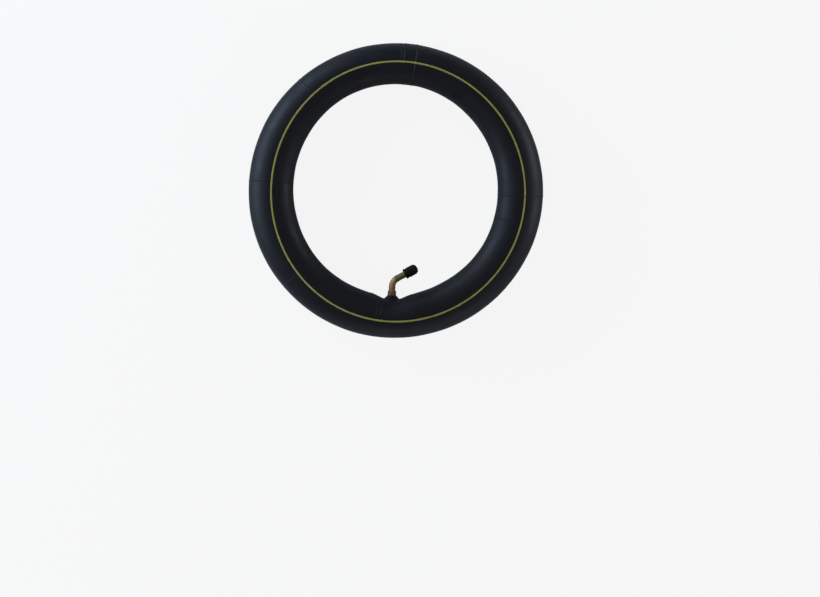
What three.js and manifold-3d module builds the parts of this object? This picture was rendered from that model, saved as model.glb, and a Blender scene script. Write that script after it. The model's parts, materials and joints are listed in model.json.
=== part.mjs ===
// A 12 1/2 x 2 1/4 inch (62-203) butyl inner tube with a bent car-type valve, inflated just enough to
// hold its round shape. Millimetres. The ring lies flat on the ground with its axis along +Z and its
// centre at the origin; the valve stands at -Y, points to the centre and bends towards +X.
import * as THREE from "three";
import { mergeVertices } from "three/addons/utils/BufferGeometryUtils.js";
import Module from "manifold-3d";

const wasm = await Module();
wasm.setup();

// ---------------------------------------------------------------- driving dimensions

const deg = Math.PI / 180;

const ring = {
  outerRadius: 154,
  halfWidth: 22.6, // mean half width of the section, seen from above
  halfHeight: 22.4,
  wall: 0.9,
  ovality: 1.0, // the section is this much wider at +X and -X, and narrower at +Y and -Y
  pinch: 0.55, // and this much narrower again where the rubber is thickest
  pinchAngle: 131 * deg,
  airHoleRadius: 2.5,
  segments: 64,
  sides: 20,
};
const facet = Math.PI / ring.segments; // the ring's flats are centred on +X, +Y, -X and -Y

const dent = { depth: 5.5, spread: 5.5 * deg }; // the stiff valve pad holds the inner side back

// Heights on the pad, the boss, the spud and the straight foot of the stem count from the pad's face.
const pad = { thickness: 1.2, halfLength: 23, halfWidth: 15, gap: 0.1 };
const boss = { height: 3.6, shoulder: 0.8, footRadius: 7.3, topRadius: 5.1 };

const spud = {
  flangeRadius: 5.6,
  flangeLow: -0.7,
  flangeHigh: 0.3,
  neckRadius: 4.4,
  grooveLow: 6.6,
  grooveHigh: 7.3,
  grooveDepth: 0.3,
  collarRadius: 4.55,
  collarTop: 8.8,
  collarTopRadius: 4.05,
  chamfer: 0.5,
  socketFloor: 1.2,
};

const stem = {
  radius: 3.35,
  boreRadius: 1.6,
  foot: 1.3,
  bendStart: 13.2,
  bendRadius: 10,
  bendAngle: 59.7 * deg,
  straight: 19.6, // from the end of the bend to the mouth
  threadRadius: 3.8,
  threadLength: 10.2,
  threadRunout: 0.7,
  chamfer: 0.5,
};

// The valve core and the cap lie on the axis of the stem's straight end. Heights count from the mouth,
// and +Y points out of it.
const chamber = {
  radius: 2.6,
  seatTop: -6.6,
  seatBottom: -9.6,
  seatRadius: 2.25,
  throat: 2.0,
  floor: -18.4,
};

const plug = {
  top: -2.1,
  bottom: -5.2,
  bore: 1.1,
  chamfer: 0.3,
  bar: { length: 4.2, width: 1.9, high: -1.05, low: -2.65 },
};

const barrel = {
  top: -5.4,
  ledgeHigh: -6.9, // the ledge that the sealing ring sits under
  ledgeLow: -7.5,
  sealHigh: -7.6,
  sealLow: -9.7,
  bottom: -13.6,
  radius: 1.75,
  ledge: 0.3,
  waist: 0.15,
  springRoom: 1.25,
  springFloor: -12.2,
  floor: -12.9,
  mouthRadius: 1.0,
};

const barrelSealing = { low: -9.55, high: -7.75, lowRadius: 2.13, highRadius: 2.36 };

const pin = {
  top: -0.3,
  head: 0.62,
  headBottom: -0.75,
  radius: 0.5,
  guide: 0.75, // the holes that the pin runs in
  collar: 1.1,
  collarHigh: -5.85,
  collarLow: -6.25,
  foot: -16.7,
};

const spring = { wire: 0.13, radius: 0.92, turns: 7 };

const cup = { low: -16.4, floor: -14.8, rim: -14.1, radius: 1.55, roomRadius: 1.4, chamfer: 0.3 };
const cupSealing = { low: -14.7, high: -13.7, radius: 1.3 };

const cap = {
  rimRadius: 5.35,
  ribRadius: 5.2,
  coreRadius: 4.9,
  neckRadius: 4.8,
  boreRadius: 3.97,
  rim: -10.8,
  neckLow: -8.2,
  neckHigh: -7.2,
  shoulder: 0.6,
  bevel: { height: 1.4, depth: 0.6 },
  top: 4.0,
  topRadius: 2.8,
  ceiling: 1.3,
  edge: 0.2,
  ribs: 16,
  ribWidth: 0.42,
};
const gasket = { low: 0.15, high: 1.15, radius: 3.7, holeRadius: 1.2 };

const gap = 0.1; // between pieces that touch or run in one another

// ---------------------------------------------------------------- solids

function solidOf(geometry) {
  const bare = geometry.clone();
  bare.deleteAttribute("normal");
  bare.deleteAttribute("uv");
  const merged = mergeVertices(bare, 1e-4);
  return new wasm.Manifold(
    new wasm.Mesh({
      numProp: 3,
      vertProperties: new Float32Array(merged.attributes.position.array),
      triVerts: new Uint32Array(merged.index.array),
    }),
  );
}

function geometryOf(solid) {
  const mesh = solid.getMesh();
  const geometry = new THREE.BufferGeometry();
  geometry.setAttribute("position", new THREE.BufferAttribute(mesh.vertProperties, 3));
  geometry.setIndex(new THREE.BufferAttribute(mesh.triVerts, 1));
  geometry.computeVertexNormals();
  return geometry;
}

// A solid of revolution about +Y from [radius, height] pairs that start and end on the axis.
function turned(profile, sides = 32) {
  const points = profile.map(([radius, height]) => new THREE.Vector2(radius, height));
  return new THREE.LatheGeometry(points, sides);
}

// The same with a hole along its axis: the profile closes on itself.
function turnedRing(profile, sides = 32) {
  return turned([...profile, profile[0]], sides);
}

function rod(radius, low, high, sides = 32) {
  return turned([[0, low], [radius, low], [radius, high], [0, high]], sides);
}

function sleeve(innerRadius, outerRadius, low, high, sides = 32) {
  const profile = [[innerRadius, low], [outerRadius, low], [outerRadius, high], [innerRadius, high]];
  return turnedRing(profile, sides);
}

function sweep(radius, sides, path, steps) {
  const outline = Array.from({ length: sides }, (_, i) => {
    const angle = (i / sides) * 2 * Math.PI;
    return new THREE.Vector2(radius * Math.cos(angle), radius * Math.sin(angle));
  });
  return new THREE.ExtrudeGeometry(new THREE.Shape(outline), { extrudePath: path, steps });
}

// ---------------------------------------------------------------- the rubber ring

// Half the section's width at an angle round the ring. It is least at the valve.
function halfWidthAt(angle) {
  const fromValve = Math.atan2(-Math.cos(angle), -Math.sin(angle));
  const held = Math.exp(-0.5 * (fromValve / dent.spread) ** 2);
  return (
    ring.halfWidth +
    ring.ovality * Math.cos(2 * angle) -
    ring.pinch * Math.cos(angle - ring.pinchAngle) -
    (dent.depth / 2) * held
  );
}

// The ring's surface, moved out by offset. The section is a polygon with flats at the top, the bottom
// and both sides, so the ring rests on a real face.
function ringSkin(offset) {
  const acrossFlats = 1 / Math.cos(Math.PI / ring.sides);
  const loop = Array.from({ length: ring.sides + 1 }, (_, i) => {
    const turn = ((i + 0.5) / ring.sides) * 2 * Math.PI;
    return new THREE.Vector2(ring.outerRadius + Math.cos(turn), Math.sin(turn));
  });
  const geometry = new THREE.LatheGeometry(loop, ring.segments, facet).rotateX(Math.PI / 2);
  const position = geometry.getAttribute("position");
  const point = new THREE.Vector3();
  for (let i = 0; i < position.count; i++) {
    point.fromBufferAttribute(position, i);
    const angle = Math.atan2(point.y, point.x);
    const half = halfWidthAt(angle);
    const across = (Math.hypot(point.x, point.y) - ring.outerRadius) * acrossFlats;
    const radius = ring.outerRadius - half + (half + offset) * across;
    const height = (ring.halfHeight + offset) * point.z * acrossFlats;
    position.setXYZ(i, radius * Math.cos(angle), radius * Math.sin(angle), height);
  }
  return solidOf(geometry);
}

// How far the pad's inner face is from the ring's centre.
const valveRadius =
  (ring.outerRadius - 2 * halfWidthAt(facet - Math.PI / 2) - pad.thickness) * Math.cos(facet);

function tubeBody() {
  const depth = 2 * (pad.thickness + ring.wall);
  const airHole = rod(ring.airHoleRadius, -depth, 0).translate(0, -valveRadius, 0);
  return ringSkin(0).subtract(ringSkin(-ring.wall)).subtract(solidOf(airHole));
}

// ---------------------------------------------------------------- the valve's foot

function valvePad() {
  const tall = 2 * ring.halfWidth;
  const oval = new THREE.Shape().absellipse(0, 0, pad.halfLength, pad.halfWidth, 0, 2 * Math.PI);
  const outline = new THREE.ExtrudeGeometry(oval, { depth: tall, curveSegments: 20, bevelEnabled: false })
    .rotateX(Math.PI / 2)
    .translate(0, tall / 2 - valveRadius, 0);
  const cone = turned([
    [0, -pad.thickness / 2],
    [boss.footRadius, -pad.thickness / 2],
    [boss.footRadius, boss.shoulder],
    [boss.topRadius, boss.height],
    [0, boss.height],
  ]).translate(0, -valveRadius, 0);
  const pocketFloor = spud.flangeLow - 2 * pad.thickness;
  const pocket = turned([
    [0, pocketFloor],
    [spud.flangeRadius + gap, pocketFloor],
    [spud.flangeRadius + gap, spud.flangeHigh + gap],
    [spud.neckRadius + gap, spud.flangeHigh + gap],
    [spud.neckRadius + gap, boss.height + gap],
    [0, boss.height + gap],
  ]).translate(0, -valveRadius, 0);
  return ringSkin(pad.thickness)
    .intersect(solidOf(outline))
    .add(solidOf(cone))
    .subtract(ringSkin(pad.gap))
    .subtract(solidOf(pocket))
    .translate(0, valveRadius, 0);
}

function valveSpud() {
  const socket = stem.radius + gap;
  const grooveRadius = spud.neckRadius - spud.grooveDepth;
  return solidOf(
    turnedRing([
      [stem.boreRadius, spud.flangeLow],
      [spud.flangeRadius, spud.flangeLow],
      [spud.flangeRadius, spud.flangeHigh],
      [spud.neckRadius, spud.flangeHigh],
      [spud.neckRadius, spud.grooveLow],
      [grooveRadius, spud.grooveLow],
      [grooveRadius, spud.grooveHigh],
      [spud.collarRadius, spud.grooveHigh],
      [spud.collarRadius, spud.collarTop - spud.chamfer],
      [spud.collarTopRadius, spud.collarTop],
      [socket, spud.collarTop],
      [socket, spud.socketFloor],
      [stem.boreRadius, spud.socketFloor],
    ]),
  );
}

// ---------------------------------------------------------------- the bent stem

// The stem's centre line: up from the foot, round the bend and straight to the mouth.
class StemLine extends THREE.Curve {
  constructor(extra = 0) {
    super();
    this.extra = extra; // how far the line runs past each end
    this.up = stem.bendStart - stem.foot + extra;
    this.arc = stem.bendRadius * stem.bendAngle;
    this.length = this.up + this.arc + stem.straight + extra;
  }

  getPoint(t, target = new THREE.Vector3()) {
    const along = t * this.length;
    if (along < this.up) return target.set(0, stem.foot - this.extra + along, 0);
    const turn = Math.min((along - this.up) / stem.bendRadius, stem.bendAngle);
    const rest = Math.max(along - this.up - this.arc, 0);
    return target.set(
      stem.bendRadius * (1 - Math.cos(turn)) + rest * Math.sin(turn),
      stem.bendStart + stem.bendRadius * Math.sin(turn) + rest * Math.cos(turn),
      0,
    );
  }
}

const mouth = new StemLine().getPoint(1);

function valveStem() {
  const toMouth = new THREE.Matrix4().makeRotationZ(-stem.bendAngle).setPosition(mouth);
  const tip = turned([
    [0, -stem.threadLength],
    [stem.radius, -stem.threadLength],
    [stem.threadRadius, stem.threadRunout - stem.threadLength],
    [stem.threadRadius, -stem.chamfer],
    [stem.threadRadius - stem.chamfer, 0],
    [0, 0],
  ]).applyMatrix4(toMouth);
  const room = turned([
    [0, chamber.floor],
    [chamber.throat, chamber.floor],
    [chamber.throat, chamber.seatBottom],
    [chamber.seatRadius, chamber.seatBottom],
    [chamber.radius, chamber.seatTop],
    [chamber.radius, gap],
    [0, gap],
  ]).applyMatrix4(toMouth);
  const tube = sweep(stem.radius, 24, new StemLine(-gap / 2), 36);
  const bore = sweep(stem.boreRadius, 12, new StemLine(gap), 30);
  return solidOf(tube).add(solidOf(tip)).subtract(solidOf(bore)).subtract(solidOf(room));
}

// ---------------------------------------------------------------- the valve core

// The threaded plug that holds the core in, with the flat bar that a core tool turns.
function corePlug() {
  const radius = chamber.radius - gap;
  const thread = turnedRing([
    [plug.bore, plug.bottom],
    [radius - plug.chamfer, plug.bottom],
    [radius, plug.bottom + plug.chamfer],
    [radius, plug.top - plug.chamfer],
    [radius - plug.chamfer, plug.top],
    [plug.bore, plug.top],
  ]);
  const { length, width, high, low } = plug.bar;
  const bar = new THREE.BoxGeometry(length, high - low, width).translate(0, (high + low) / 2, 0);
  const hole = rod(pin.guide, plug.bottom - gap, high + gap, 24);
  return solidOf(thread).add(solidOf(bar)).subtract(solidOf(hole));
}

function coreBarrel() {
  const waist = barrel.radius - barrel.waist;
  return solidOf(
    turnedRing([
      [barrel.mouthRadius, barrel.bottom],
      [barrel.radius, barrel.bottom],
      [barrel.radius, barrel.sealLow],
      [waist, barrel.sealLow],
      [waist, barrel.sealHigh],
      [barrel.radius + barrel.ledge, barrel.ledgeLow],
      [barrel.radius + barrel.ledge, barrel.ledgeHigh],
      [waist, barrel.ledgeHigh],
      [waist, barrel.top],
      [barrel.springRoom, barrel.top],
      [barrel.springRoom, barrel.springFloor],
      [pin.guide, barrel.springFloor],
      [pin.guide, barrel.floor],
      [barrel.mouthRadius, barrel.floor],
    ]),
  );
}

function barrelSeal() {
  const inside = barrel.radius - barrel.waist + gap;
  return solidOf(
    turnedRing([
      [inside, barrelSealing.low],
      [barrelSealing.lowRadius, barrelSealing.low],
      [barrelSealing.highRadius, barrelSealing.high],
      [inside, barrelSealing.high],
    ]),
  );
}

function corePin() {
  const profile = [
    [0, pin.foot],
    [pin.radius, pin.foot],
    [pin.radius, pin.collarLow],
    [pin.collar, pin.collarLow],
    [pin.collar, pin.collarHigh],
    [pin.radius, pin.collarHigh],
    [pin.radius, pin.headBottom],
    [pin.head, pin.headBottom],
    [pin.head, pin.top - gap],
    [pin.head - gap, pin.top],
    [0, pin.top],
  ];
  return solidOf(turned(profile, 20));
}

class Helix extends THREE.Curve {
  constructor(radius, low, high, turns) {
    super();
    Object.assign(this, { radius, low, high, turns });
  }

  getPoint(t, target = new THREE.Vector3()) {
    const angle = t * this.turns * 2 * Math.PI;
    const height = this.low + t * (this.high - this.low);
    return target.set(this.radius * Math.cos(angle), height, this.radius * Math.sin(angle));
  }
}

function coreSpring() {
  const low = barrel.springFloor + spring.wire + gap;
  const high = pin.collarLow - spring.wire - gap;
  const coil = new Helix(spring.radius, low, high, spring.turns);
  return solidOf(sweep(spring.wire, 6, coil, 12 * spring.turns));
}

function coreCup() {
  const inside = pin.radius + gap;
  const profile = [
    [inside, cup.low],
    [cup.radius - cup.chamfer, cup.low],
    [cup.radius, cup.low + cup.chamfer],
    [cup.radius, cup.rim],
    [cup.roomRadius, cup.rim],
    [cup.roomRadius, cup.floor],
    [inside, cup.floor],
  ];
  return solidOf(turnedRing(profile, 24));
}

function cupSeal() {
  return solidOf(sleeve(pin.radius + gap, cupSealing.radius, cupSealing.low, cupSealing.high, 24));
}

// ---------------------------------------------------------------- the dust cap

function capShell() {
  return solidOf(
    turnedRing([
      [cap.boreRadius, cap.rim],
      [cap.rimRadius - cap.edge, cap.rim],
      [cap.rimRadius, cap.rim + cap.edge],
      [cap.rimRadius, cap.neckLow - cap.edge],
      [cap.neckRadius, cap.neckLow + cap.edge],
      [cap.neckRadius, cap.neckHigh - cap.edge],
      [cap.coreRadius, cap.neckHigh],
      [cap.coreRadius, cap.shoulder],
      [cap.coreRadius - cap.bevel.depth, cap.shoulder + cap.bevel.height],
      [cap.topRadius, cap.top],
      [0, cap.top],
      [0, cap.ceiling],
      [cap.boreRadius, cap.ceiling],
    ]),
  );
}

function dustCap() {
  const length = cap.shoulder - cap.neckHigh - 2 * gap;
  let made = capShell();
  for (let i = 0; i < cap.ribs; i++) {
    const rib = new THREE.CylinderGeometry(cap.ribWidth, cap.ribWidth, length, 6)
      .translate(0, (cap.neckHigh + cap.shoulder) / 2, cap.ribRadius - cap.ribWidth)
      .rotateY((i / cap.ribs) * 2 * Math.PI);
    made = made.add(solidOf(rib));
  }
  return made;
}

function capSeal() {
  return solidOf(sleeve(gasket.holeRadius, gasket.radius, gasket.low, gasket.high));
}

// ---------------------------------------------------------------- assembly

const finish = {
  rubber: new THREE.MeshStandardMaterial({ color: 0x1c1f25, roughness: 0.55, metalness: 0 }),
  brass: new THREE.MeshStandardMaterial({ color: 0xb08d57, roughness: 0.35, metalness: 1 }),
  steel: new THREE.MeshStandardMaterial({ color: 0x9a9c9e, roughness: 0.3, metalness: 1 }),
  seal: new THREE.MeshStandardMaterial({ color: 0x8c2a22, roughness: 0.6, metalness: 0 }),
  plastic: new THREE.MeshStandardMaterial({ color: 0x141414, roughness: 0.45, metalness: 0 }),
};

function piece(name, solid, material) {
  const mesh = new THREE.Mesh(geometryOf(solid), material);
  mesh.name = name;
  return mesh;
}

const tip = new THREE.Group();
tip.position.copy(mouth);
tip.rotation.z = -stem.bendAngle;
tip.add(
  piece("core_plug", corePlug(), finish.brass),
  piece("core_barrel", coreBarrel(), finish.brass),
  piece("barrel_seal", barrelSeal(), finish.seal),
  piece("core_spring", coreSpring(), finish.steel),
  piece("core_pin", corePin(), finish.steel),
  piece("core_cup", coreCup(), finish.brass),
  piece("cup_seal", cupSeal(), finish.seal),
  piece("cap_seal", capSeal(), finish.rubber),
  piece("dust_cap", dustCap(), finish.plastic),
);

const valve = new THREE.Group();
valve.position.set(0, -valveRadius, 0);
valve.add(
  piece("valve_pad", valvePad(), finish.rubber),
  piece("valve_spud", valveSpud(), finish.brass),
  piece("valve_stem", valveStem(), finish.brass),
  tip,
);

const innerTube = new THREE.Group();
innerTube.add(piece("tube_body", tubeBody(), finish.rubber), valve);

export default innerTube;
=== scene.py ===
# A lightly inflated inner tube with a bent metal valve, lying on a pale floor, seen from straight above.
# Metres throughout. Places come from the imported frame; the sizes named here are what it doesn't hold.
import json
import math

import bmesh
import bpy
import numpy as np
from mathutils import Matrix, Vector


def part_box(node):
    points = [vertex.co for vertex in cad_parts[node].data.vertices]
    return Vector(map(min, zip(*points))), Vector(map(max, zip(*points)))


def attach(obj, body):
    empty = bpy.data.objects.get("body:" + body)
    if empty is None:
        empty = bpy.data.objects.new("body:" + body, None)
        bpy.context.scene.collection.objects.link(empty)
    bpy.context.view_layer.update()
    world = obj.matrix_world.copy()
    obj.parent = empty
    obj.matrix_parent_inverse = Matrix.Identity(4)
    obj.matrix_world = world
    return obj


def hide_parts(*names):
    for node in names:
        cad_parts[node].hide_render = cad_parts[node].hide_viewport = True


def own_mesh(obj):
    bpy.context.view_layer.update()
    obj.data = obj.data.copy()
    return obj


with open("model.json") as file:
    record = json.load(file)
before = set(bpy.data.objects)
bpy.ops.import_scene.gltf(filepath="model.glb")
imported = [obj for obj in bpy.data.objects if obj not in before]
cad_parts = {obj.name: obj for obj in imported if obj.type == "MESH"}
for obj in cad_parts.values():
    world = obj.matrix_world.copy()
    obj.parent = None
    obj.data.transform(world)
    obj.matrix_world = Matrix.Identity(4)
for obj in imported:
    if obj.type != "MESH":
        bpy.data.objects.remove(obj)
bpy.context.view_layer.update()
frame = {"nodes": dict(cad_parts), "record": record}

MM = 0.001
DEG = math.pi / 180
TURN = 2 * math.pi

# ------------------------------------------------------------------ places, from the frame

JOINTS = {joint["name"]: joint for joint in frame["record"]["behaviour"]["joints"]}
MOUTH = np.array(JOINTS["cap_turn"]["pos_m"])
TIP_AXIS = np.array(JOINTS["cap_turn"]["axis"])
TIP_AXIS /= np.linalg.norm(TIP_AXIS)
UP = np.array([0.0, 0.0, 1.0])

OUTER_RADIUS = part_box("tube_body")[1][0]
HALF_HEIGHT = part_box("tube_body")[1][2]
PAD_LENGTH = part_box("valve_pad")[1][0]
PAD_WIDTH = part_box("valve_pad")[1][2]
COLLAR_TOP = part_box("valve_spud")[1][1]
STEM_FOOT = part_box("valve_stem")[0][1]

# ------------------------------------------------------------------ the tube

# The slow shape and the stripe's circle were fitted to the photographed edges and rounded.
HALF_WIDTH = 22.6 * MM
OVALITY = 0.85 * MM  # wider at the sides than at the top and bottom of the picture
OVALITY_ANGLE = 5.5 * DEG
PINCH = 0.46 * MM
PINCH_ANGLE = 105 * DEG
DENT = 5.85 * MM  # the stiff pad holds the inner side back at the valve
DENT_SPREAD = 5.5 * DEG
BULGE = 0.4 * MM  # and the rubber swells beside it
BULGE_ANGLE = 298 * DEG
BULGE_SPREAD = 14 * DEG

SPLICE = (82.6 * DEG, 88.7 * DEG)  # the ring's two ends are joined between these angles
SPLICE_HEIGHT = 0.16 * MM

# Fine raised lines left by the mould: the angle round the ring, how high the line stands, and where it
# shows: on the whole section, on its outer half or on its inner half. Ten were read off the photograph;
# those near 46, 223 and 311 degrees are guessed from the 45 degree spacing of the clearer ones.
WHOLE, OUTER, INNER = 0, 1, -1
MOULD_LINES = (
    (81.9, 0.8, OUTER), (83.4, 1.6, WHOLE), (88.0, 1.0, OUTER), (89.6, 1.0, OUTER), (132.9, 1.3, OUTER),
    (178.1, 1.2, WHOLE), (223.0, 0.6, OUTER), (263.4, 0.9, INNER), (265.4, 0.9, INNER),
    (311.5, 0.5, WHOLE), (347.0, 1.2, INNER), (359.6, 1.4, WHOLE), (45.6, 0.7, OUTER),
)
LINE_HEIGHT = 0.32 * MM
LINE_WIDTH = 0.40 * MM
PARTING_HEIGHT = 0.12 * MM

STRIPE_RADIUS = 133.7 * MM
STRIPE_SHIFT = 2.7 * MM  # the stripe's circle is a little off the ring's centre
STRIPE_TOWARDS = -36 * DEG
STRIPE_OVALITY = 1.67 * MM  # and flattened at the sides
STRIPE_WANDER = 0.5 * MM
STRIPE_WIDTH = 1.75 * MM
STRIPE_LIFT = 0.09 * MM

# ------------------------------------------------------------------ the valve

COLLAR_HEIGHT = 8.8 * MM
SEAT = COLLAR_TOP - COLLAR_HEIGHT  # heights on the valve's foot count from here
PAD_THICKNESS = 0.5 * MM
BOSS_HEIGHT = 3.9 * MM
BOSS_TOP = 4.95 * MM
BOSS_SLOPE = 1.15
SPUD_NECK = 4.4 * MM
COLLAR_RADIUS = 4.55 * MM

STEM_RADIUS = 3.42 * MM
STEM_BORE = 1.6 * MM
BEND_RADIUS = 10 * MM
BEND_ANGLE = math.atan2(TIP_AXIS[0], TIP_AXIS[1])
CORNER = MOUTH[0] / TIP_AXIS[0]  # from the mouth back to where the two straight lines would meet
STRAIGHT = CORNER - BEND_RADIUS * math.tan(BEND_ANGLE / 2)
BEND_LENGTH = BEND_RADIUS * BEND_ANGLE
BEND_START = MOUTH[1] - CORNER * TIP_AXIS[1] - BEND_RADIUS * math.tan(BEND_ANGLE / 2)

# The brass is brown at its foot, gold at the bend and dull olive towards the tip. The colours are spread
# along a slanting line, from just below the collar's top to just short of the mouth.
TINT_SLANT = 0.6
TINT_LOW = COLLAR_TOP * TINT_SLANT - 6 * MM
TINT_HIGH = MOUTH[0] + TINT_SLANT * MOUTH[1] - 8 * MM
STEM_COLOURS = (
    (0.10, (0.50, 0.33, 0.22)), (0.20, (0.80, 0.50, 0.28)), (0.30, (0.94, 0.62, 0.31)),
    (0.44, (0.90, 0.68, 0.31)), (0.50, (0.46, 0.38, 0.14)), (0.63, (0.47, 0.40, 0.15)),
    (0.68, (0.43, 0.44, 0.21)), (0.84, (0.43, 0.44, 0.21)), (0.92, (0.56, 0.48, 0.25)),
)
CORE_COLOUR = (0.62, 0.48, 0.22)

PITCH = TURN / abs(frame["record"]["behaviour"]["couplings"][0]["ratio"])
THREAD_CREST = 3.8 * MM
THREAD_DEPTH = 0.42 * MM
THREAD_LENGTH = 10.2 * MM

CAP_RIM = -10.8 * MM  # heights on the cap and the core count from the mouth
CAP_SHOULDER = 0.6 * MM
CAP_TOP = 4.2 * MM
CAP_CEILING = 1.3 * MM
CAP_BORE = 3.97 * MM
CAP_RADIUS = 5.0 * MM
CAP_RIBS = 16

# ------------------------------------------------------------------ the picture

PICTURE_WIDTH = 0.8568  # metres across, at the ring
PICTURE_CENTRE = (0.0150, -0.1127)  # from the ring's centre, along the picture's own sides
ROLL = 2.1 * DEG
LENS = 200.0
SENSOR = 36.0
FLOOR_GLOW = 0.885


# ------------------------------------------------------------------ mesh helpers

def grid_faces(rows, columns, wrap_rows, wrap_columns):
    index = np.arange(rows * columns).reshape(rows, columns)
    if wrap_rows:
        index = np.vstack([index, index[:1]])
    if wrap_columns:
        index = np.hstack([index, index[:, :1]])
    corners = (index[:-1, :-1], index[1:, :-1], index[1:, 1:], index[:-1, 1:])
    return np.stack(corners, axis=-1).reshape(-1, 4)


def add_mesh(name, points, faces, material, sharp=35 * DEG):
    """A smooth-shaded object; points that meet are merged and its faces point out."""
    mesh = bpy.data.meshes.new(name)
    mesh.from_pydata(np.asarray(points).reshape(-1, 3).tolist(), [], np.asarray(faces).tolist())
    work = bmesh.new()
    work.from_mesh(mesh)
    bmesh.ops.remove_doubles(work, verts=work.verts, dist=1e-7)
    bmesh.ops.recalc_face_normals(work, faces=work.faces)
    work.to_mesh(mesh)
    work.free()
    mesh.shade_smooth()
    mesh.set_sharp_from_angle(angle=sharp)
    mesh.materials.append(material)
    piece = bpy.data.objects.new(name, mesh)
    bpy.context.scene.collection.objects.link(piece)
    return piece


def add_grid(name, points, material, wrap_rows=True, wrap_columns=True, sharp=35 * DEG):
    faces = grid_faces(points.shape[0], points.shape[1], wrap_rows, wrap_columns)
    return add_mesh(name, points, faces, material, sharp)


def soften(corners, radius, steps=4, closed=False):
    """The polyline with its corners rounded off by about that radius."""
    corners = [np.array(c, float) for c in corners]
    count = len(corners)
    line = []
    for i, corner in enumerate(corners):
        if not closed and i in (0, count - 1):
            line.append(corner)
            continue
        before = corners[i - 1] - corner
        after = corners[(i + 1) % count] - corner
        start = corner + before * min(0.5, radius / np.linalg.norm(before))
        end = corner + after * min(0.5, radius / np.linalg.norm(after))
        for t in np.linspace(0, 1, steps + 1):
            line.append((1 - t) ** 2 * start + 2 * t * (1 - t) * corner + t**2 * end)
    return np.array(line)


def subdivide(line, step, closed=False):
    """The polyline with no stretch longer than step."""
    ends = np.vstack([line, line[:1]]) if closed else line
    out = []
    for a, b in zip(ends[:-1], ends[1:]):
        count = max(1, math.ceil(np.linalg.norm(b - a) / step))
        out += [a + (b - a) * i / count for i in range(count)]
    return np.array(out if closed else out + [ends[-1]])


def ring_angles(sides):
    return np.linspace(0, TURN, sides, endpoint=False)


def turned(profile, origin, axis, sides=96, radius=None):
    """Points of revolution of (radius, height) pairs; radius(r, h, angle) can reshape them."""
    first = UP if abs(axis[2]) < 0.9 else np.array([1.0, 0.0, 0.0])
    second = np.cross(axis, first)
    angle = ring_angles(sides)[None, :]
    r = np.repeat(profile[:, :1], sides, axis=1)
    h = np.repeat(profile[:, 1:], sides, axis=1)
    if radius:
        r = radius(r, h, angle)
    spoke = np.cos(angle)[..., None] * first + np.sin(angle)[..., None] * second
    return origin + h[..., None] * axis + r[..., None] * spoke


def smooth(low, high, value):
    t = np.clip((value - low) / (high - low), 0, 1)
    return t * t * (3 - 2 * t)


def ridge(distance, width):
    return np.exp(-((distance / width) ** 2))


def between(angle, centre):
    """The signed angle from centre to angle."""
    return (angle - centre + math.pi) % TURN - math.pi


# ------------------------------------------------------------------ materials

class Nodes:
    """A material's node tree, wired by name."""

    def __init__(self, name):
        self.material = bpy.data.materials.new(name)
        self.material.use_nodes = True
        self.tree = self.material.node_tree
        self.tree.nodes.clear()
        self.shader = self.add("ShaderNodeBsdfPrincipled")
        output = self.add("ShaderNodeOutputMaterial")
        self.join(self.shader.outputs["BSDF"], output.inputs["Surface"])
        self.place = self.add("ShaderNodeTexCoord").outputs["Object"]

    def add(self, kind, **settings):
        node = self.tree.nodes.new(kind)
        for key, value in settings.items():
            setattr(node, key, value)
        return node

    def join(self, output, socket):
        self.tree.links.new(output, socket)

    def set(self, **values):
        for key, value in values.items():
            self.shader.inputs[key.replace("_", " ")].default_value = value

    def noise(self, scale, detail=4.0, roughness=0.5, distortion=0.0):
        node = self.add("ShaderNodeTexNoise")
        node.inputs["Scale"].default_value = scale
        node.inputs["Detail"].default_value = detail
        node.inputs["Roughness"].default_value = roughness
        node.inputs["Distortion"].default_value = distortion
        self.join(self.place, node.inputs["Vector"])
        return node.outputs["Fac"]

    def ramp(self, value, *stops):
        node = self.add("ShaderNodeValToRGB")
        ramp = node.color_ramp
        while len(ramp.elements) < len(stops):
            ramp.elements.new(0.5)
        for element, (position, colour) in zip(ramp.elements, stops):
            element.position = position
            element.color = (*colour, 1.0)
        self.join(value, node.inputs["Fac"])
        return node.outputs["Color"]

    def fit(self, value, low, high, start=0.3, end=0.7):
        """The value's stretch from start to end, mapped to low and high."""
        node = self.add("ShaderNodeMapRange")
        limits = (start, end, low, high)
        for socket, limit in zip(("From Min", "From Max", "To Min", "To Max"), limits):
            node.inputs[socket].default_value = limit
        self.join(value, node.inputs["Value"])
        return node.outputs["Result"]

    def mix(self, share, first, second):
        node = self.add("ShaderNodeMix", data_type="RGBA")
        self.join(share, node.inputs["Factor"])
        for value, socket in ((first, node.inputs[6]), (second, node.inputs[7])):
            if isinstance(value, tuple):
                socket.default_value = (*value, 1.0)
            else:
                self.join(value, socket)
        return node.outputs[2]

    def sum(self, *values):
        total = values[0]
        for value in values[1:]:
            node = self.add("ShaderNodeMath", operation="ADD")
            self.join(total, node.inputs[0])
            self.join(value, node.inputs[1])
            total = node.outputs[0]
        return total

    def bump(self, height, depth, strength=1.0):
        node = self.add("ShaderNodeBump")
        node.inputs["Strength"].default_value = strength
        node.inputs["Distance"].default_value = depth
        self.join(height, node.inputs["Height"])
        self.join(node.outputs["Normal"], self.shader.inputs["Normal"])


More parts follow.
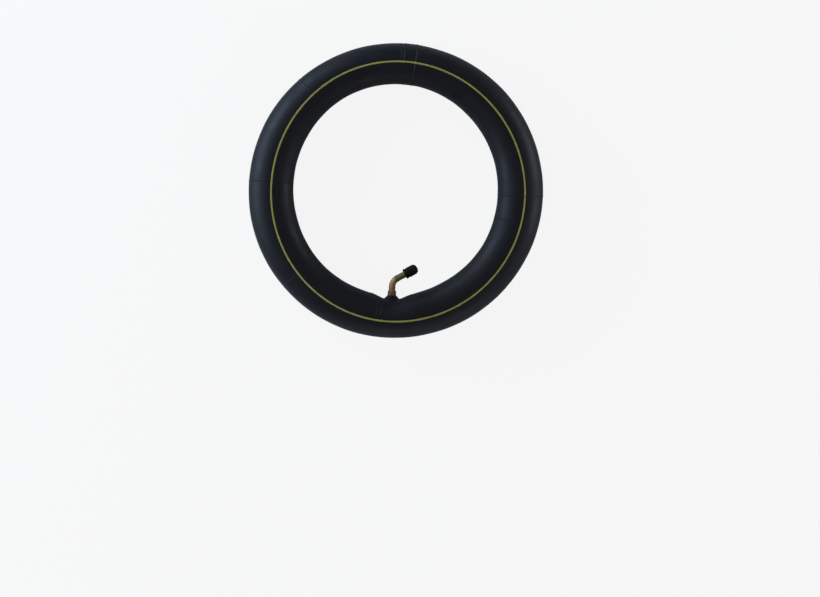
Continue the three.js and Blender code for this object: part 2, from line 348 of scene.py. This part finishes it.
def rubber(name, dust=1.0):
    """Cured butyl: near black and a little blue, dull, with faint smears of chalk and fine grain."""
    nodes = Nodes(name)
    smear = nodes.noise(14, 6, 0.62, distortion=0.6)
    speck = nodes.noise(900, 2, 0.6)
    chalk = nodes.mix(
        nodes.fit(smear, 0.0, 0.35 * dust, 0.45, 0.8), (0.0046, 0.0056, 0.0084), (0.014, 0.016, 0.021)
    )
    colour = nodes.mix(nodes.fit(speck, 0.0, 0.25 * dust, 0.62, 0.8), chalk, (0.035, 0.037, 0.04))
    nodes.join(colour, nodes.shader.inputs["Base Color"])
    dullness = nodes.sum(smear, nodes.noise(38, 5, 0.55))
    nodes.join(nodes.fit(dullness, 0.46, 0.60, 0.8, 1.2), nodes.shader.inputs["Roughness"])
    grain = nodes.sum(nodes.noise(2600, 2, 0.5), nodes.noise(420, 3, 0.5))
    nodes.bump(grain, 0.00004, 0.4)
    nodes.set(Specular_IOR_Level=0.42, Sheen_Weight=0.14, Sheen_Roughness=0.45)
    nodes.set(Sheen_Tint=(0.75, 0.85, 1.0, 1.0))
    return nodes.material


def stripe_paint():
    """Olive-yellow marking paint, thin and slightly uneven over the black rubber."""
    nodes = Nodes("stripe_paint")
    patch = nodes.noise(160, 5, 0.6)
    wear = nodes.noise(1500, 3, 0.65)
    olive, middle, yellow = (0.60, 0.57, 0.125), (0.67, 0.64, 0.16), (0.72, 0.69, 0.23)
    colour = nodes.ramp(patch, (0.3, olive), (0.55, middle), (0.8, yellow))
    worn = nodes.mix(nodes.fit(wear, 0.0, 0.75, 0.62, 0.78), colour, (0.08, 0.08, 0.03))
    nodes.join(worn, nodes.shader.inputs["Base Color"])
    nodes.join(nodes.fit(patch, 0.5, 0.7), nodes.shader.inputs["Roughness"])
    nodes.bump(wear, 0.00004, 0.5)
    return nodes.material


def brass(name, stops, dark, roughness):
    """Drawn brass with a dull skin. Its colour changes from the collar up to the tip, at the stops."""
    nodes = Nodes(name)
    patch = nodes.noise(220, 5, 0.6)
    spots = nodes.noise(900, 4, 0.7)
    upwards = nodes.add("ShaderNodeVectorMath", operation="DOT_PRODUCT")
    upwards.inputs[1].default_value = (1.0, TINT_SLANT, 0.0)
    nodes.join(nodes.place, upwards.inputs[0])
    along = nodes.fit(upwards.outputs["Value"], 0.0, 1.0, TINT_LOW, TINT_HIGH)
    shade = nodes.ramp(along, *stops)
    duller = ((place, tuple(0.68 * c for c in colour)) for place, colour in stops)
    dull = nodes.ramp(along, *duller)
    colour = nodes.mix(nodes.fit(patch, 0.0, 1.0), dull, shade)
    tarnished = nodes.mix(nodes.fit(spots, 0.0, 0.7, 0.55, 0.75), colour, dark)
    nodes.join(tarnished, nodes.shader.inputs["Base Color"])
    dullness = nodes.sum(patch, spots)
    nodes.join(nodes.fit(dullness, *roughness, 0.8, 1.2), nodes.shader.inputs["Roughness"])
    nodes.bump(nodes.noise(3000, 2, 0.5), 0.00002, 0.4)
    nodes.set(Metallic=1.0)
    return nodes.material


def moulded_plastic():
    nodes = Nodes("cap_plastic")
    patch = nodes.noise(300, 4, 0.6)
    grain = nodes.noise(5000, 2, 0.5)
    colour = nodes.mix(nodes.fit(patch, 0.0, 1.0), (0.0075, 0.0062, 0.0050), (0.016, 0.0135, 0.011))
    nodes.join(colour, nodes.shader.inputs["Base Color"])
    dullness = nodes.sum(patch, grain)
    nodes.join(nodes.fit(dullness, 0.42, 0.56, 0.8, 1.2), nodes.shader.inputs["Roughness"])
    nodes.bump(grain, 0.00002, 0.5)
    nodes.set(Specular_IOR_Level=0.32, Specular_Tint=(1.0, 0.86, 0.70, 1.0))
    return nodes.material


def spring_steel():
    nodes = Nodes("steel")
    drawn = nodes.noise(900, 4, 0.6)
    nodes.join(nodes.ramp(drawn, (0.3, (0.42, 0.42, 0.43)), (0.7, (0.62, 0.62, 0.62))),
               nodes.shader.inputs["Base Color"])
    nodes.join(nodes.fit(drawn, 0.22, 0.36), nodes.shader.inputs["Roughness"])
    nodes.bump(drawn, 0.00001, 0.4)
    nodes.set(Metallic=1.0)
    return nodes.material


def seal_rubber():
    nodes = Nodes("seal_rubber")
    cloud = nodes.noise(700, 5, 0.6)
    nodes.join(nodes.ramp(cloud, (0.3, (0.22, 0.03, 0.025)), (0.7, (0.32, 0.05, 0.04))),
               nodes.shader.inputs["Base Color"])
    nodes.join(nodes.fit(cloud, 0.55, 0.7), nodes.shader.inputs["Roughness"])
    nodes.bump(cloud, 0.00003, 0.5)
    return nodes.material


# ------------------------------------------------------------------ the tube's surface

def half_width(around):
    """Half the section's width, seen from above, at an angle round the ring."""
    held = np.exp(-0.5 * (between(around, -TURN / 4) / DENT_SPREAD) ** 2)
    swollen = np.exp(-0.5 * (between(around, BULGE_ANGLE) / BULGE_SPREAD) ** 2)
    return (
        HALF_WIDTH
        + OVALITY * np.cos(2 * (around - OVALITY_ANGLE))
        - PINCH * np.cos(around - PINCH_ANGLE)
        + BULGE * swollen
        - DENT / 2 * held
    )


def relief(around, across):
    """What stands out from the plain shape: waves, the splice, the mould's lines and its parting."""
    waves = (
        (0.18 * np.cos(3 * around + 0.3) + 0.27 * np.cos(2 * around - 1.95)) * np.cos(across)
        + 0.09 * np.sin(7 * around + 2.1 - 0.8 * np.sin(across))
        + 0.035 * np.sin(17 * around + 0.4 + 0.9 * np.cos(across + 1.0))
        + 0.03 * np.sin(29 * around - 1.3 * np.cos(across))
    )
    height = waves * MM
    arc = OUTER_RADIUS - HALF_WIDTH
    edge = 0.5 * MM / arc
    start, end = SPLICE
    splice = smooth(-edge, edge, around - start) * smooth(-edge, edge, end - around)
    height = height + SPLICE_HEIGHT * splice
    for angle, share, side in MOULD_LINES:
        lean = 0.25 * DEG * np.sin(2 * across + angle)
        line = ridge(between(around, angle * DEG + lean) * arc, LINE_WIDTH)
        shown = 1.0 if side == WHOLE else smooth(-0.1, 0.25, side * np.cos(across))
        height = height + LINE_HEIGHT * share * line * shown
    for seam in (0.0, math.pi):
        height = height + PARTING_HEIGHT * ridge(between(across, seam) * HALF_WIDTH, LINE_WIDTH)
    return height


def tube_surface(around, across, lift=0.0):
    """Points on the tube: around the ring, and across its section from the outer side over the top."""
    half = half_width(around)
    swell = relief(around, across) + lift
    radius = OUTER_RADIUS - half + (half + swell) * np.cos(across)
    height = np.maximum((HALF_HEIGHT + swell) * np.sin(across), -HALF_HEIGHT)
    return np.stack([radius * np.cos(around), radius * np.sin(around), height + 0 * radius], axis=-1)


def with_lines(count, lines, reach):
    """Evenly spread angles, with a finer bunch of them at each line."""
    fine = np.linspace(-1, 1, 13) * reach
    even = np.linspace(0, TURN, count, endpoint=False)
    clear = np.all([np.abs(between(even, line)) > 1.1 * reach for line in lines], axis=0)
    bunches = [(line + fine) % TURN for line in lines]
    return np.sort(np.concatenate([even[clear], *bunches]))


def make_tube(material):
    arc = OUTER_RADIUS - HALF_WIDTH
    lines = [angle * DEG for angle, _, _ in MOULD_LINES] + list(SPLICE)
    around = with_lines(620, lines, 1.2 * MM / arc)
    across = with_lines(84, [0.0, math.pi], 0.7 * MM / HALF_WIDTH)
    points = tube_surface(around[:, None], across[None, :])
    piece = add_grid("tube_skin", points, material, sharp=80 * DEG)
    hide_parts("tube_body")
    return piece


def make_stripe(material):
    around = np.linspace(0, TURN, 900, endpoint=False)[:, None]
    centre = (
        STRIPE_RADIUS
        + STRIPE_SHIFT * np.cos(around - STRIPE_TOWARDS)
        - STRIPE_OVALITY * np.cos(2 * around)
        + STRIPE_WANDER * np.cos(3 * around + 0.4)
    )
    half = half_width(around)
    across = np.arccos(1 - (OUTER_RADIUS - centre) / half)
    ragged = 1 + 0.05 * np.sin(41 * around) + 0.04 * np.sin(97 * around + 1)
    section = ((-0.5, -1.6), (-0.5, 0.2), (-0.4, 0.85), (0, 1), (0.4, 0.85), (0.5, 0.2), (0.5, -1.6))
    rows = [
        tube_surface(around, across + side * STRIPE_WIDTH * ragged / half, rise * STRIPE_LIFT)
        for side, rise in section
    ]
    return add_grid("stripe_print", np.concatenate(rows, axis=1), material)


# ------------------------------------------------------------------ the valve's foot

def tube_side(x, z):
    """The height along +Y of the tube's inner side, at a place beside the valve's axis."""
    across = math.pi - np.arcsin(np.clip(z / HALF_HEIGHT, -1, 1))
    y = np.full(np.shape(x), SEAT)
    for _ in range(8):
        half = half_width(np.arctan2(y, x))
        radius = OUTER_RADIUS - half + half * np.cos(across)
        y = -np.sqrt(radius**2 - x**2)
    return y


def make_pad(material):
    """The oval rubber patch, thin at its edge, with the cone that stands round the spud."""
    sides = 160
    angle = ring_angles(sides)[None, :]
    # The radii where the cone is sampled: close together round its rim, wider down its flank.
    cone = np.array([4.48, 4.65, 4.82, 4.98, 5.1, 5.25, 5.5, 5.85, 6.2, 6.6, 7.0, 7.4, 7.8, 8.3, 8.9])
    cone = cone * MM
    spread = np.linspace(0, 1, 34)[1:]
    inner = np.repeat(cone[:, None], sides, axis=1)
    x = inner * np.cos(angle)
    z = inner * np.sin(angle)
    t = spread[:, None]
    x = np.vstack([x, ((1 - t) * cone[-1] + t * PAD_LENGTH) * np.cos(angle)])
    z = np.vstack([z, ((1 - t) * cone[-1] + t * PAD_WIDTH) * np.sin(angle)])
    t = np.concatenate([np.zeros(len(cone)), spread])[:, None]

    side = tube_side(x, z)
    steep = 1 / np.sqrt(1 - np.clip(z / HALF_HEIGHT, -0.95, 0.95) ** 2)
    thickness = PAD_THICKNESS * (0.28 + 0.72 * smooth(1.0, 0.72, t))
    thickness = thickness + 0.14 * MM * ridge(t - 0.80, 0.035) + 0.10 * MM * ridge(t - 0.35, 0.03)
    face = side + thickness * steep
    distance = np.hypot(x, z)
    rounding = 0.22 * MM * smooth(BOSS_TOP - 0.3 * MM, BOSS_TOP + 0.1 * MM, distance)
    boss = SEAT + BOSS_HEIGHT - rounding - BOSS_SLOPE * np.maximum(distance - BOSS_TOP, 0)
    blend = 0.5 * MM
    gap = np.clip((boss - face) / blend, -40, 40)
    top = face + blend * np.log1p(np.exp(gap))
    buried = side - 0.5 * MM * steep

    skin = np.stack([x, top, z], axis=-1)
    back = np.stack([x, np.minimum(buried, top - 0.2 * MM), z], axis=-1)[::-1]
    piece = add_grid("valve_patch", np.concatenate([skin, back]), material, sharp=50 * DEG)
    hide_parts("valve_pad")
    return piece


def make_spud(material):
    """The brass foot: a flange inside the pad and a grooved collar above it."""
    neck = SPUD_NECK
    collar = COLLAR_RADIUS
    flange = 5.6 * MM
    flange_low = -0.7 * MM
    flange_high = 0.3 * MM
    groove = neck - 0.3 * MM
    chamfer = 0.5 * MM
    socket = STEM_RADIUS + 0.02 * MM
    socket_floor = 1.2 * MM
    corners = [
        (STEM_BORE, flange_low), (flange, flange_low), (flange, flange_high), (neck, flange_high),
        (neck, 4.6 * MM), (collar, 4.8 * MM), (collar, 6.3 * MM), (groove, 6.55 * MM),
        (groove, 7.05 * MM), (collar, 7.3 * MM), (collar, COLLAR_HEIGHT - chamfer),
        (collar - chamfer, COLLAR_HEIGHT), (socket, COLLAR_HEIGHT), (socket, socket_floor),
        (STEM_BORE, socket_floor),
    ]
    profile = soften(corners, 0.14 * MM, closed=True)
    points = turned(profile, np.array([0.0, SEAT, 0.0]), np.array([0.0, 1.0, 0.0]), 96)
    piece = add_grid("spud_collar", points, material)
    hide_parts("valve_spud")
    return piece


# ------------------------------------------------------------------ the bent stem

def thread(height, angle):
    """A right-hand screw thread's profile, from 0 in the root to 1 on the crest."""
    phase = height / PITCH - angle / TURN
    return np.clip(0.5 + 0.85 * np.cos(TURN * phase), 0, 1)


def stem_line(height):
    """Centre and sideways direction of the stem's line, by its height from the mouth along the line."""
    turn = np.clip((-height - STRAIGHT) / BEND_RADIUS, 0, BEND_ANGLE)
    heading = BEND_ANGLE - turn
    along = np.stack([np.sin(heading), np.cos(heading)], axis=-1)
    tip_end = MOUTH[:2] + np.maximum(height, -STRAIGHT)[:, None] * TIP_AXIS[:2]
    down = np.maximum(-height - STRAIGHT - BEND_LENGTH, 0)
    bend = BEND_RADIUS * np.stack(
        [np.cos(BEND_ANGLE) - np.cos(heading), np.sin(heading) - np.sin(BEND_ANGLE)], axis=-1
    )
    flat = tip_end + bend - down[:, None] * np.array([0.0, 1.0])
    centre = np.column_stack([flat, np.zeros(len(flat))])
    sideways = np.column_stack([along[:, 1], -along[:, 0], np.zeros(len(along))])
    return centre, sideways


def make_stem(material):
    """The bent tube, threaded at its tip and bored for the core."""
    foot = -(STRAIGHT + BEND_LENGTH + BEND_START - STEM_FOOT)
    root = THREAD_CREST - THREAD_DEPTH
    run = -THREAD_LENGTH
    bend_end = -STRAIGHT
    bead = STEM_RADIUS + 0.2 * MM
    upper = STEM_RADIUS - 0.1 * MM
    outside = [
        (STEM_RADIUS, foot), (STEM_RADIUS, bend_end - 0.7 * MM), (bead, bend_end - 0.35 * MM),
        (bead, bend_end + 0.35 * MM), (upper, bend_end + 0.7 * MM), (upper, run - 0.5 * MM),
        (root, run), (root, -0.45 * MM), (root - 0.42 * MM, 0),
    ]
    chamber = 2.6 * MM
    seat = 2.25 * MM
    throat = 2.0 * MM
    inside = [
        (chamber + 0.15 * MM, 0), (chamber, -0.25 * MM), (chamber, -6.6 * MM), (seat, -9.6 * MM),
        (throat, -9.7 * MM), (throat, -18.4 * MM), (STEM_BORE, -18.8 * MM), (STEM_BORE, foot),
    ]
    wall_inside = 2.9 * MM  # the stem's outside lies beyond this radius, and its bore within it
    profile = soften(outside + inside, 0.16 * MM, 3, closed=True)
    coarse = subdivide(profile, 0.5 * MM, closed=True)
    fine = []
    for a, b in zip(coarse, np.roll(coarse, -1, axis=0)):
        threaded = min(a[1], b[1]) > run - 1 * MM and min(a[0], b[0]) > wall_inside
        count = max(1, math.ceil(np.linalg.norm(b - a) / (0.07 * MM))) if threaded else 1
        fine += [a + (b - a) * i / count for i in range(count)]
    profile = np.array(fine)

    sides = 80
    angle = ring_angles(sides)[None, :]
    radius = np.repeat(profile[:, :1], sides, axis=1)
    height = profile[:, 1:]
    on_thread = smooth(run - 0.1 * MM, run + 0.9 * MM, height) * smooth(-0.05 * MM, -0.75 * MM, height)
    radius = radius + THREAD_DEPTH * thread(height, angle) * on_thread * (radius > wall_inside)
    into_bend = (-height - STRAIGHT) / BEND_LENGTH
    bent = smooth(-0.15, 0.3, into_bend) * smooth(1.15, 0.7, into_bend)
    radius = radius * (1 + 0.022 * bent * np.cos(2 * angle))  # the wall is a little oval in the bend
    centre, sideways = stem_line(profile[:, 1])
    points = centre[:, None, :] + radius[..., None] * (
        np.cos(angle)[..., None] * UP + np.sin(angle)[..., None] * sideways[:, None, :]
    )
    piece = add_grid("bent_stem", points, material, sharp=50 * DEG)
    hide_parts("valve_stem")
    return piece


# ------------------------------------------------------------------ the valve core

def on_tip(name, corners, material, body, node, rounding=0.1 * MM, closed=True, sides=72):
    profile = soften([(r * MM, h * MM) for r, h in corners], rounding, closed=closed)
    piece = add_grid(name, turned(profile, MOUTH, TIP_AXIS, sides), material, wrap_rows=closed)
    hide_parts(node)
    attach(piece, body)
    return piece


def make_plug(material):
    """The core's screw plug with the flat bar across its top, bored for the pin."""
    bore_radius = 0.75
    outline = (
        (2.5, -5.2), (2.5, -2.1), (0.95, -1.9), (0.95, -1.05), (bore_radius, -1.05), (bore_radius, -5.2),
    )
    piece = on_tip("core_plug_fine", outline, material, "tube", "core_plug", 0.12 * MM)
    bar = bpy.data.meshes.new("bar")
    work = bmesh.new()
    bmesh.ops.create_cube(work, size=1.0)
    second = np.cross(TIP_AXIS, UP)
    size = np.array([1.9, 4.2, 1.6]) * MM
    middle = -1.85 * MM
    for vertex in work.verts:
        x, y, z = np.array(vertex.co) * size
        vertex.co = Vector(MOUTH + x * UP + y * second + (z + middle) * TIP_AXIS)
    bmesh.ops.bevel(work, geom=work.edges[:], offset=0.12 * MM, segments=3, affect="EDGES")
    bmesh.ops.recalc_face_normals(work, faces=work.faces)
    work.to_mesh(bar)
    work.free()
    tool = bpy.data.objects.new("bar", bar)
    bpy.context.scene.collection.objects.link(tool)
    hole = np.array([(0, -6), (bore_radius, -6), (bore_radius, 0), (0, 0)]) * MM
    bore = add_grid("bore", turned(hole, MOUTH, TIP_AXIS, 72), material, wrap_rows=False)
    for operation, other in (("UNION", tool), ("DIFFERENCE", bore)):
        cut = piece.modifiers.new(operation, "BOOLEAN")
        cut.operation = operation
        cut.object = other
        cut.solver = "EXACT"
        cut_into(piece, other)
    return piece


def cut_into(piece, other):
    """Makes the piece's modifiers part of its mesh and removes the tool that they used."""
    shape = piece.evaluated_get(bpy.context.evaluated_depsgraph_get())
    mesh = bpy.data.meshes.new_from_object(shape)
    piece.modifiers.clear()
    piece.data = mesh
    mesh.shade_smooth()
    mesh.set_sharp_from_angle(angle=35 * DEG)
    bpy.data.objects.remove(other)


def make_pin(material):
    """The core's pin, with the collar that the spring pushes on and a small head."""
    foot, top, shaft, collar, head = -16.7, -0.3, 0.5, 1.1, 0.62
    outline = (
        (0, foot), (shaft, foot), (shaft, -6.25), (collar, -6.25), (collar, -5.85), (shaft, -5.85),
        (shaft, -0.8), (head, -0.72), (head, -0.42), (0.36, top), (0, top),
    )
    return on_tip("core_pin_fine", outline, material, "plunger", "core_pin",
                  rounding=0.06 * MM, closed=False, sides=48)


def make_spring(material):
    """The core's spring, with a closed coil at each end."""
    low = -12.1 * MM
    high = -6.3 * MM
    wire = 0.13 * MM
    coil_radius = 0.92 * MM
    coils = 8.5
    sides = 12
    share = np.linspace(0, 1, 340)
    eased = np.interp(share, (0, 0.11, 0.89, 1), (0, 0.045, 0.955, 1))
    turn = share * coils * TURN
    rise = low + wire + eased * (high - low - 2 * wire)
    second = np.cross(TIP_AXIS, UP)
    spoke = np.cos(turn)[:, None] * UP + np.sin(turn)[:, None] * second
    centre = MOUTH + rise[:, None] * TIP_AXIS + coil_radius * spoke
    angle = ring_angles(sides)[None, :, None]
    points = centre[:, None, :] + wire * (np.cos(angle) * spoke[:, None, :] + np.sin(angle) * TIP_AXIS)
    ends = np.stack([np.repeat(centre[:1], sides, axis=0), np.repeat(centre[-1:], sides, axis=0)])
    points = np.concatenate([ends[:1], points, ends[1:]])
    piece = add_grid("core_spring_fine", points, material, wrap_rows=False)
    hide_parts("core_spring")
    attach(piece, "tube")
    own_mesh(piece)
    return piece


# ------------------------------------------------------------------ the dust cap

def make_cap(material):
    """The ribbed cap: a rim, a neck, ribs up to the shoulder and a rounded end, threaded inside."""
    top = CAP_TOP - 0.1 * MM
    crown = [
        (CAP_RADIUS * math.cos(a) ** 0.8, CAP_SHOULDER + (top - CAP_SHOULDER) * math.sin(a))
        for a in np.linspace(0, 78 * DEG, 14)
    ]
    neck = CAP_RADIUS - 0.05 * MM
    rim = CAP_RADIUS + 0.4 * MM
    outside = [
        (rim - 0.5 * MM, CAP_RIM), (rim, CAP_RIM + 0.5 * MM), (rim, CAP_RIM + 2.3 * MM),
        (neck, CAP_RIM + 2.8 * MM), (neck, CAP_RIM + 3.4 * MM), (CAP_RADIUS, CAP_RIM + 3.8 * MM),
        *crown, (0.9 * MM, CAP_TOP), (0.7 * MM, top), (0, top),
    ]
    inside = [
        (0, CAP_CEILING), (CAP_BORE, CAP_CEILING), (CAP_BORE, CAP_RIM + 0.5 * MM),
        (CAP_BORE + 0.25 * MM, CAP_RIM),
    ]
    outer = subdivide(soften(outside, 0.35 * MM, 4), 0.28 * MM)
    inner = subdivide(soften(inside, 0.2 * MM, 3), 0.09 * MM)
    profile = np.vstack([outer, inner, outer[:1]])

    def shaped(radius, height, angle):
        row = np.arange(len(profile))[:, None]
        out = row < len(outer)
        edge = np.clip(0.5 + 1.1 * np.cos(CAP_RIBS * angle), 0, 1)
        low = CAP_RIM + 3.5 * MM
        length = smooth(low, low + 0.4 * MM, height)
        length = length * smooth(1.5 * MM, -0.2 * MM, height - CAP_SHOULDER)
        ribs = (0.55 * edge - 0.2) * MM * length
        bored = smooth(CAP_RIM + 0.5 * MM, CAP_RIM + 1.4 * MM, height)
        bored = bored * smooth(-0.2 * MM, -1.0 * MM, height)
        walls = radius > CAP_BORE - 0.01 * MM
        turns = 0.38 * MM * thread(height + PITCH / 2, angle) * bored * walls
        return np.where(out, radius + ribs, radius - turns)

    points = turned(profile, MOUTH, TIP_AXIS, 216, shaped)
    piece = add_grid("ribbed_cap", points, material, wrap_rows=False, sharp=60 * DEG)
    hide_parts("dust_cap")
    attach(piece, "cap")
    return piece


# ------------------------------------------------------------------ stage, light and camera

def make_floor():
    """A wide pale floor that the tube lies on. It glows to the camera, so shadows on it stay faint."""
    reach = 12.0
    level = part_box("tube_body")[0][2]
    corners = [(x * reach, y * reach, level) for x, y in ((-1, -1), (1, -1), (1, 1), (-1, 1))]
    nodes = Nodes("floor_paper")
    seen = nodes.add("ShaderNodeLightPath").outputs["Is Camera Ray"]
    paper = nodes.mix(nodes.noise(3, 2, 0.5), (0.68, 0.68, 0.68), (0.70, 0.70, 0.70))
    nodes.join(nodes.mix(seen, paper, (0.14, 0.14, 0.14)), nodes.shader.inputs["Base Color"])
    nodes.set(Roughness=0.9, Specular_IOR_Level=0.1, Emission_Color=(1.0, 1.0, 1.0, 1.0))
    nodes.join(nodes.fit(seen, 0.02, FLOOR_GLOW, 0.0, 1.0), nodes.shader.inputs["Emission Strength"])
    mesh = bpy.data.meshes.new("floor")
    mesh.from_pydata(corners, [], [(0, 1, 2, 3)])
    mesh.materials.append(nodes.material)
    floor = bpy.data.objects.new("floor", mesh)
    bpy.context.scene.collection.objects.link(floor)


def add_light(name, direction, rise, size, radiance, colour, distance=1.6):
    """A soft upright rectangle of light, facing the ring from a direction round the picture."""
    data = bpy.data.lights.new(name, "AREA")
    data.shape = "RECTANGLE"
    data.size, data.size_y = size
    data.energy = radiance * math.pi * size[0] * size[1]
    data.color = colour
    light = bpy.data.objects.new(name, data)
    around = direction * DEG + ROLL
    light.location = (distance * math.cos(around), distance * math.sin(around), rise)
    light.rotation_euler = (-light.location).to_track_quat("-Z", "Y").to_euler()
    bpy.context.scene.collection.objects.link(light)


def make_lights():
    add_light("left_panel", 158, 0.30, (2.2, 0.9), 4.5, (0.62, 0.76, 1.0))
    add_light("right_panel", 9, 0.10, (1.5, 0.4), 4.8, (0.84, 0.90, 1.0))
    add_light("near_panel", 282, 0.20, (2.0, 0.5), 1.0, (0.93, 0.92, 1.0))
    world = bpy.data.worlds.new("room")
    world.use_nodes = True
    tree = world.node_tree
    background = tree.nodes["Background"]
    background.inputs["Color"].default_value = (0.92, 0.95, 1.0, 1.0)
    split = tree.nodes.new("ShaderNodeSeparateXYZ")
    height = tree.nodes.new("ShaderNodeMapRange")
    for socket, limit in (("From Max", 0.7), ("To Min", 0.07), ("To Max", 0.18)):
        height.inputs[socket].default_value = limit
    tree.links.new(tree.nodes.new("ShaderNodeTexCoord").outputs["Generated"], split.inputs["Vector"])
    tree.links.new(split.outputs["Z"], height.inputs["Value"])
    path = tree.nodes.new("ShaderNodeLightPath")
    level = tree.nodes.new("ShaderNodeMapRange")
    level.inputs["To Max"].default_value = FLOOR_GLOW
    tree.links.new(path.outputs["Is Camera Ray"], level.inputs["Value"])
    tree.links.new(height.outputs["Result"], level.inputs["To Min"])
    tree.links.new(level.outputs["Result"], background.inputs["Strength"])
    bpy.context.scene.world = world


def make_camera():
    """Straight above, turned a little, with a long lens."""
    data = bpy.data.cameras.new("camera")
    data.lens = LENS
    data.sensor_width = SENSOR
    data.clip_end = 100  # metres, past the floor's far edge
    camera = bpy.data.objects.new("camera", data)
    x, y = PICTURE_CENTRE
    camera.location = (
        x * math.cos(ROLL) - y * math.sin(ROLL),
        x * math.sin(ROLL) + y * math.cos(ROLL),
        PICTURE_WIDTH * LENS / SENSOR,
    )
    camera.rotation_euler = (0, 0, ROLL)
    bpy.context.scene.collection.objects.link(camera)
    bpy.context.scene.camera = camera


# ------------------------------------------------------------------ the scene

def main():
    black_rubber = rubber("tube_rubber")
    pad_rubber = rubber("pad_rubber", 0.6)
    stem_brass = brass("stem_brass", STEM_COLOURS, (0.16, 0.11, 0.06), (0.60, 0.78))
    plain = ((0.0, CORE_COLOUR), (1.0, CORE_COLOUR))
    core_brass = brass("core_brass", plain, (0.2, 0.15, 0.06), (0.24, 0.38))
    plastic = moulded_plastic()
    steel = spring_steel()
    red_seal = seal_rubber()

    for piece in (make_tube(black_rubber), make_stripe(stripe_paint()), make_pad(pad_rubber),
                  make_spud(stem_brass), make_stem(stem_brass)):
        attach(piece, "tube")
    make_plug(core_brass)
    make_pin(steel)
    make_spring(steel)
    gasket = ((1.2, 0.15), (3.7, 0.15), (3.7, 1.15), (1.2, 1.15))
    on_tip("cap_gasket", gasket, pad_rubber, "cap_liner", "cap_seal", 0.15 * MM)
    make_cap(plastic)

    # These stay hidden inside the stem, so the CAD solids only get a material.
    hidden = {
        "core_barrel": core_brass, "core_cup": core_brass, "barrel_seal": red_seal, "cup_seal": red_seal,
    }
    for node, material in hidden.items():
        mesh = frame["nodes"][node].data
        mesh.materials.clear()
        mesh.materials.append(material)

    make_floor()
    make_lights()
    make_camera()
    bpy.context.scene.view_settings.view_transform = "Standard"


main()
